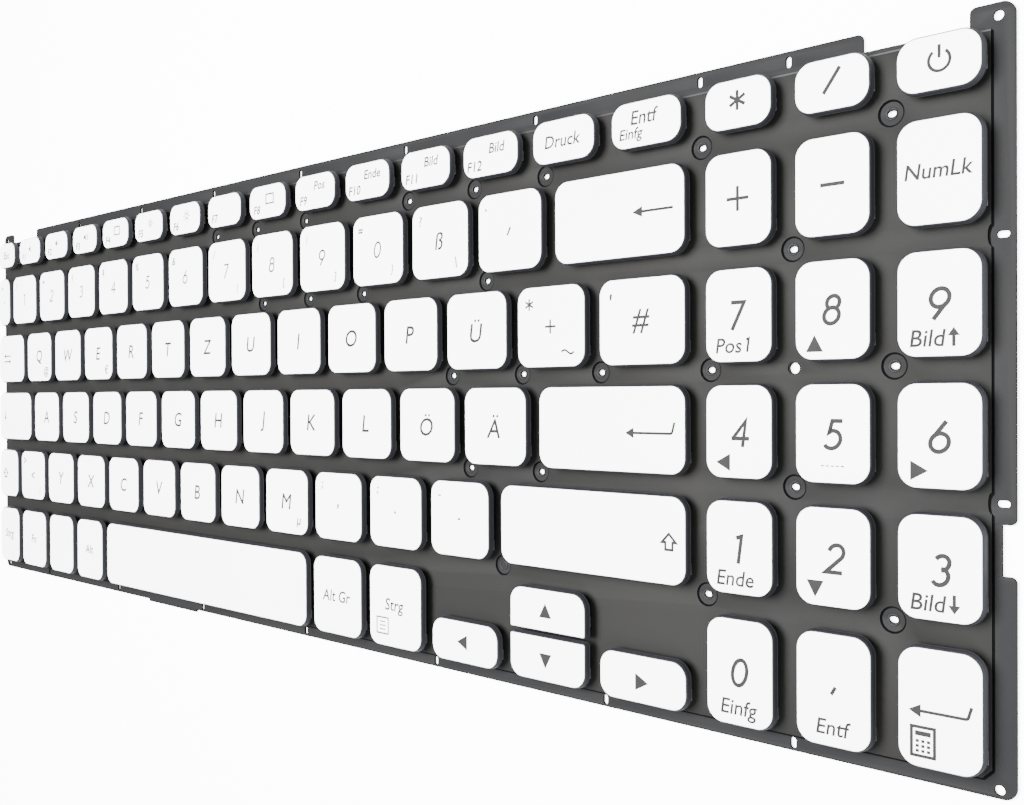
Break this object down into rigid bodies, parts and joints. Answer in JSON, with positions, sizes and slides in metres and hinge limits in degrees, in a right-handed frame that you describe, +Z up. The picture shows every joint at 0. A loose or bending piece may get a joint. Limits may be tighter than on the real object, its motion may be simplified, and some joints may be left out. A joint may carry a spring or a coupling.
{
  "type": "laptop keyboard",
  "caption": "Flat replacement keyboard for a laptop: pale low key caps on folding frames and rubber domes, a dark film and a stamped plate, with a number block on the right.",
  "frame": {"origin": "under the middle of the sheet plate, on the surface that it lies on", "axes": "+X along the key rows towards the number block, +Y towards the function row, +Z up out of the key tops"},
  "size_m": [0.3224, 0.1104, 0.0038],
  "materials": {
    "plate": "satin",
    "film": "matte",
    "dome": "matte",
    "frame": "matte",
    "cap": "satin"
  },
  "bodies": {
    "plate": {"base_plate": "plate", "contact_film": "film", "rubber_domes": "dome", "folding_frames": "frame", "function_row_keys": "cap", "home_row_keys": "cap", "lower_row_keys": "cap", "number_row_keys": "cap", "space_row_keys": "cap", "upper_row_keys": "cap"},
    "key_a_umlaut_body": {"key_a_umlaut": "cap"},
    "key_acute_body": {"key_acute": "cap"},
    "key_alt_gr_body": {"key_alt_gr": "cap"},
    "key_arrow_down_body": {"key_arrow_down": "cap"},
    "key_arrow_left_body": {"key_arrow_left": "cap"},
    "key_arrow_right_body": {"key_arrow_right": "cap"},
    "key_arrow_up_body": {"key_arrow_up": "cap"},
    "key_backspace_body": {"key_backspace": "cap"},
    "key_comma_body": {"key_comma": "cap"},
    "key_ctrl_right_body": {"key_ctrl_right": "cap"},
    "key_dash_body": {"key_dash": "cap"},
    "key_delete_body": {"key_delete": "cap"},
    "key_divide_body": {"key_divide": "cap"},
    "key_dot_body": {"key_dot": "cap"},
    "key_enter_body": {"key_enter": "cap"},
    "key_f10_body": {"key_f10": "cap"},
    "key_f11_body": {"key_f11": "cap"},
    "key_f12_body": {"key_f12": "cap"},
    "key_hash_body": {"key_hash": "cap"},
    "key_k_body": {"key_k": "cap"},
    "key_l_body": {"key_l": "cap"},
    "key_m_body": {"key_m": "cap"},
    "key_nine_body": {"key_nine": "cap"},
    "key_num_0_body": {"key_num_0": "cap"},
    "key_num_1_body": {"key_num_1": "cap"},
    "key_num_2_body": {"key_num_2": "cap"},
    "key_num_3_body": {"key_num_3": "cap"},
    "key_num_4_body": {"key_num_4": "cap"},
    "key_num_5_body": {"key_num_5": "cap"},
    "key_num_6_body": {"key_num_6": "cap"},
    "key_num_7_body": {"key_num_7": "cap"},
    "key_num_8_body": {"key_num_8": "cap"},
    "key_num_9_body": {"key_num_9": "cap"},
    "key_num_comma_body": {"key_num_comma": "cap"},
    "key_num_enter_body": {"key_num_enter": "cap"},
    "key_num_lock_body": {"key_num_lock": "cap"},
    "key_num_minus_body": {"key_num_minus": "cap"},
    "key_num_plus_body": {"key_num_plus": "cap"},
    "key_o_body": {"key_o": "cap"},
    "key_o_umlaut_body": {"key_o_umlaut": "cap"},
    "key_p_body": {"key_p": "cap"},
    "key_plus_body": {"key_plus": "cap"},
    "key_power_body": {"key_power": "cap"},
    "key_print_body": {"key_print": "cap"},
    "key_sharp_s_body": {"key_sharp_s": "cap"},
    "key_shift_right_body": {"key_shift_right": "cap"},
    "key_space_body": {"key_space": "cap"},
    "key_times_body": {"key_times": "cap"},
    "key_u_umlaut_body": {"key_u_umlaut": "cap"},
    "key_zero_body": {"key_zero": "cap"}
  },
  "joints": [
    {"name": "key_a_umlaut_press", "type": "slide", "parent": "plate", "child": "key_a_umlaut_body", "axis": [0, 0, -1], "range_m": [0, 0.0014], "stiffness_N_per_m": 400, "springref_m": -0.0004, "deforming": ["rubber_domes", "folding_frames"]},
    {"name": "key_acute_press", "type": "slide", "parent": "plate", "child": "key_acute_body", "axis": [0, 0, -1], "range_m": [0, 0.0014], "stiffness_N_per_m": 400, "springref_m": -0.0004, "deforming": ["rubber_domes", "folding_frames"]},
    {"name": "key_alt_gr_press", "type": "slide", "parent": "plate", "child": "key_alt_gr_body", "axis": [0, 0, -1], "range_m": [0, 0.0014], "stiffness_N_per_m": 400, "springref_m": -0.0004, "deforming": ["rubber_domes", "folding_frames"]},
    {"name": "key_arrow_down_press", "type": "slide", "parent": "plate", "child": "key_arrow_down_body", "axis": [0, 0, -1], "range_m": [0, 0.0014], "stiffness_N_per_m": 400, "springref_m": -0.0004, "deforming": ["rubber_domes", "folding_frames"]},
    {"name": "key_arrow_left_press", "type": "slide", "parent": "plate", "child": "key_arrow_left_body", "axis": [0, 0, -1], "range_m": [0, 0.0014], "stiffness_N_per_m": 400, "springref_m": -0.0004, "deforming": ["rubber_domes", "folding_frames"]},
    {"name": "key_arrow_right_press", "type": "slide", "parent": "plate", "child": "key_arrow_right_body", "axis": [0, 0, -1], "range_m": [0, 0.0014], "stiffness_N_per_m": 400, "springref_m": -0.0004, "deforming": ["rubber_domes", "folding_frames"]},
    {"name": "key_arrow_up_press", "type": "slide", "parent": "plate", "child": "key_arrow_up_body", "axis": [0, 0, -1], "range_m": [0, 0.0014], "stiffness_N_per_m": 400, "springref_m": -0.0004, "deforming": ["rubber_domes", "folding_frames"]},
    {"name": "key_backspace_press", "type": "slide", "parent": "plate", "child": "key_backspace_body", "axis": [0, 0, -1], "range_m": [0, 0.0014], "stiffness_N_per_m": 400, "springref_m": -0.0004, "deforming": ["rubber_domes", "folding_frames"]},
    {"name": "key_comma_press", "type": "slide", "parent": "plate", "child": "key_comma_body", "axis": [0, 0, -1], "range_m": [0, 0.0014], "stiffness_N_per_m": 400, "springref_m": -0.0004, "deforming": ["rubber_domes", "folding_frames"]},
    {"name": "key_ctrl_right_press", "type": "slide", "parent": "plate", "child": "key_ctrl_right_body", "axis": [0, 0, -1], "range_m": [0, 0.0014], "stiffness_N_per_m": 400, "springref_m": -0.0004, "deforming": ["rubber_domes", "folding_frames"]},
    {"name": "key_dash_press", "type": "slide", "parent": "plate", "child": "key_dash_body", "axis": [0, 0, -1], "range_m": [0, 0.0014], "stiffness_N_per_m": 400, "springref_m": -0.0004, "deforming": ["rubber_domes", "folding_frames"]},
    {"name": "key_delete_press", "type": "slide", "parent": "plate", "child": "key_delete_body", "axis": [0, 0, -1], "range_m": [0, 0.0014], "stiffness_N_per_m": 400, "springref_m": -0.0004, "deforming": ["rubber_domes", "folding_frames"]},
    {"name": "key_divide_press", "type": "slide", "parent": "plate", "child": "key_divide_body", "axis": [0, 0, -1], "range_m": [0, 0.0014], "stiffness_N_per_m": 400, "springref_m": -0.0004, "deforming": ["rubber_domes", "folding_frames"]},
    {"name": "key_dot_press", "type": "slide", "parent": "plate", "child": "key_dot_body", "axis": [0, 0, -1], "range_m": [0, 0.0014], "stiffness_N_per_m": 400, "springref_m": -0.0004, "deforming": ["rubber_domes", "folding_frames"]},
    {"name": "key_enter_press", "type": "slide", "parent": "plate", "child": "key_enter_body", "axis": [0, 0, -1], "range_m": [0, 0.0014], "stiffness_N_per_m": 400, "springref_m": -0.0004, "deforming": ["rubber_domes", "folding_frames"]},
    {"name": "key_f10_press", "type": "slide", "parent": "plate", "child": "key_f10_body", "axis": [0, 0, -1], "range_m": [0, 0.0014], "stiffness_N_per_m": 400, "springref_m": -0.0004, "deforming": ["rubber_domes", "folding_frames"]},
    {"name": "key_f11_press", "type": "slide", "parent": "plate", "child": "key_f11_body", "axis": [0, 0, -1], "range_m": [0, 0.0014], "stiffness_N_per_m": 400, "springref_m": -0.0004, "deforming": ["rubber_domes", "folding_frames"]},
    {"name": "key_f12_press", "type": "slide", "parent": "plate", "child": "key_f12_body", "axis": [0, 0, -1], "range_m": [0, 0.0014], "stiffness_N_per_m": 400, "springref_m": -0.0004, "deforming": ["rubber_domes", "folding_frames"]},
    {"name": "key_hash_press", "type": "slide", "parent": "plate", "child": "key_hash_body", "axis": [0, 0, -1], "range_m": [0, 0.0014], "stiffness_N_per_m": 400, "springref_m": -0.0004, "deforming": ["rubber_domes", "folding_frames"]},
    {"name": "key_k_press", "type": "slide", "parent": "plate", "child": "key_k_body", "axis": [0, 0, -1], "range_m": [0, 0.0014], "stiffness_N_per_m": 400, "springref_m": -0.0004, "deforming": ["rubber_domes", "folding_frames"]},
    {"name": "key_l_press", "type": "slide", "parent": "plate", "child": "key_l_body", "axis": [0, 0, -1], "range_m": [0, 0.0014], "stiffness_N_per_m": 400, "springref_m": -0.0004, "deforming": ["rubber_domes", "folding_frames"]},
    {"name": "key_m_press", "type": "slide", "parent": "plate", "child": "key_m_body", "axis": [0, 0, -1], "range_m": [0, 0.0014], "stiffness_N_per_m": 400, "springref_m": -0.0004, "deforming": ["rubber_domes", "folding_frames"]},
    {"name": "key_nine_press", "type": "slide", "parent": "plate", "child": "key_nine_body", "axis": [0, 0, -1], "range_m": [0, 0.0014], "stiffness_N_per_m": 400, "springref_m": -0.0004, "deforming": ["rubber_domes", "folding_frames"]},
    {"name": "key_num_0_press", "type": "slide", "parent": "plate", "child": "key_num_0_body", "axis": [0, 0, -1], "range_m": [0, 0.0014], "stiffness_N_per_m": 400, "springref_m": -0.0004, "deforming": ["rubber_domes", "folding_frames"]},
    {"name": "key_num_1_press", "type": "slide", "parent": "plate", "child": "key_num_1_body", "axis": [0, 0, -1], "range_m": [0, 0.0014], "stiffness_N_per_m": 400, "springref_m": -0.0004, "deforming": ["rubber_domes", "folding_frames"]},
    {"name": "key_num_2_press", "type": "slide", "parent": "plate", "child": "key_num_2_body", "axis": [0, 0, -1], "range_m": [0, 0.0014], "stiffness_N_per_m": 400, "springref_m": -0.0004, "deforming": ["rubber_domes", "folding_frames"]},
    {"name": "key_num_3_press", "type": "slide", "parent": "plate", "child": "key_num_3_body", "axis": [0, 0, -1], "range_m": [0, 0.0014], "stiffness_N_per_m": 400, "springref_m": -0.0004, "deforming": ["rubber_domes", "folding_frames"]},
    {"name": "key_num_4_press", "type": "slide", "parent": "plate", "child": "key_num_4_body", "axis": [0, 0, -1], "range_m": [0, 0.0014], "stiffness_N_per_m": 400, "springref_m": -0.0004, "deforming": ["rubber_domes", "folding_frames"]},
    {"name": "key_num_5_press", "type": "slide", "parent": "plate", "child": "key_num_5_body", "axis": [0, 0, -1], "range_m": [0, 0.0014], "stiffness_N_per_m": 400, "springref_m": -0.0004, "deforming": ["rubber_domes", "folding_frames"]},
    {"name": "key_num_6_press", "type": "slide", "parent": "plate", "child": "key_num_6_body", "axis": [0, 0, -1], "range_m": [0, 0.0014], "stiffness_N_per_m": 400, "springref_m": -0.0004, "deforming": ["rubber_domes", "folding_frames"]},
    {"name": "key_num_7_press", "type": "slide", "parent": "plate", "child": "key_num_7_body", "axis": [0, 0, -1], "range_m": [0, 0.0014], "stiffness_N_per_m": 400, "springref_m": -0.0004, "deforming": ["rubber_domes", "folding_frames"]},
    {"name": "key_num_8_press", "type": "slide", "parent": "plate", "child": "key_num_8_body", "axis": [0, 0, -1], "range_m": [0, 0.0014], "stiffness_N_per_m": 400, "springref_m": -0.0004, "deforming": ["rubber_domes", "folding_frames"]},
    {"name": "key_num_9_press", "type": "slide", "parent": "plate", "child": "key_num_9_body", "axis": [0, 0, -1], "range_m": [0, 0.0014], "stiffness_N_per_m": 400, "springref_m": -0.0004, "deforming": ["rubber_domes", "folding_frames"]},
    {"name": "key_num_comma_press", "type": "slide", "parent": "plate", "child": "key_num_comma_body", "axis": [0, 0, -1], "range_m": [0, 0.0014], "stiffness_N_per_m": 400, "springref_m": -0.0004, "deforming": ["rubber_domes", "folding_frames"]},
    {"name": "key_num_enter_press", "type": "slide", "parent": "plate", "child": "key_num_enter_body", "axis": [0, 0, -1], "range_m": [0, 0.0014], "stiffness_N_per_m": 400, "springref_m": -0.0004, "deforming": ["rubber_domes", "folding_frames"]},
    {"name": "key_num_lock_press", "type": "slide", "parent": "plate", "child": "key_num_lock_body", "axis": [0, 0, -1], "range_m": [0, 0.0014], "stiffness_N_per_m": 400, "springref_m": -0.0004, "deforming": ["rubber_domes", "folding_frames"]},
    {"name": "key_num_minus_press", "type": "slide", "parent": "plate", "child": "key_num_minus_body", "axis": [0, 0, -1], "range_m": [0, 0.0014], "stiffness_N_per_m": 400, "springref_m": -0.0004, "deforming": ["rubber_domes", "folding_frames"]},
    {"name": "key_num_plus_press", "type": "slide", "parent": "plate", "child": "key_num_plus_body", "axis": [0, 0, -1], "range_m": [0, 0.0014], "stiffness_N_per_m": 400, "springref_m": -0.0004, "deforming": ["rubber_domes", "folding_frames"]},
    {"name": "key_o_press", "type": "slide", "parent": "plate", "child": "key_o_body", "axis": [0, 0, -1], "range_m": [0, 0.0014], "stiffness_N_per_m": 400, "springref_m": -0.0004, "deforming": ["rubber_domes", "folding_frames"]},
    {"name": "key_o_umlaut_press", "type": "slide", "parent": "plate", "child": "key_o_umlaut_body", "axis": [0, 0, -1], "range_m": [0, 0.0014], "stiffness_N_per_m": 400, "springref_m": -0.0004, "deforming": ["rubber_domes", "folding_frames"]},
    {"name": "key_p_press", "type": "slide", "parent": "plate", "child": "key_p_body", "axis": [0, 0, -1], "range_m": [0, 0.0014], "stiffness_N_per_m": 400, "springref_m": -0.0004, "deforming": ["rubber_domes", "folding_frames"]},
    {"name": "key_plus_press", "type": "slide", "parent": "plate", "child": "key_plus_body", "axis": [0, 0, -1], "range_m": [0, 0.0014], "stiffness_N_per_m": 400, "springref_m": -0.0004, "deforming": ["rubber_domes", "folding_frames"]},
    {"name": "key_power_press", "type": "slide", "parent": "plate", "child": "key_power_body", "axis": [0, 0, -1], "range_m": [0, 0.0014], "stiffness_N_per_m": 400, "springref_m": -0.0004, "deforming": ["rubber_domes", "folding_frames"]},
    {"name": "key_print_press", "type": "slide", "parent": "plate", "child": "key_print_body", "axis": [0, 0, -1], "range_m": [0, 0.0014], "stiffness_N_per_m": 400, "springref_m": -0.0004, "deforming": ["rubber_domes", "folding_frames"]},
    {"name": "key_sharp_s_press", "type": "slide", "parent": "plate", "child": "key_sharp_s_body", "axis": [0, 0, -1], "range_m": [0, 0.0014], "stiffness_N_per_m": 400, "springref_m": -0.0004, "deforming": ["rubber_domes", "folding_frames"]},
    {"name": "key_shift_right_press", "type": "slide", "parent": "plate", "child": "key_shift_right_body", "axis": [0, 0, -1], "range_m": [0, 0.0014], "stiffness_N_per_m": 400, "springref_m": -0.0004, "deforming": ["rubber_domes", "folding_frames"]},
    {"name": "key_space_press", "type": "slide", "parent": "plate", "child": "key_space_body", "axis": [0, 0, -1], "range_m": [0, 0.0014], "stiffness_N_per_m": 400, "springref_m": -0.0004, "deforming": ["rubber_domes", "folding_frames"]},
    {"name": "key_times_press", "type": "slide", "parent": "plate", "child": "key_times_body", "axis": [0, 0, -1], "range_m": [0, 0.0014], "stiffness_N_per_m": 400, "springref_m": -0.0004, "deforming": ["rubber_domes", "folding_frames"]},
    {"name": "key_u_umlaut_press", "type": "slide", "parent": "plate", "child": "key_u_umlaut_body", "axis": [0, 0, -1], "range_m": [0, 0.0014], "stiffness_N_per_m": 400, "springref_m": -0.0004, "deforming": ["rubber_domes", "folding_frames"]},
    {"name": "key_zero_press", "type": "slide", "parent": "plate", "child": "key_zero_body", "axis": [0, 0, -1], "range_m": [0, 0.0014], "stiffness_N_per_m": 400, "springref_m": -0.0004, "deforming": ["rubber_domes", "folding_frames"]}
  ]
}
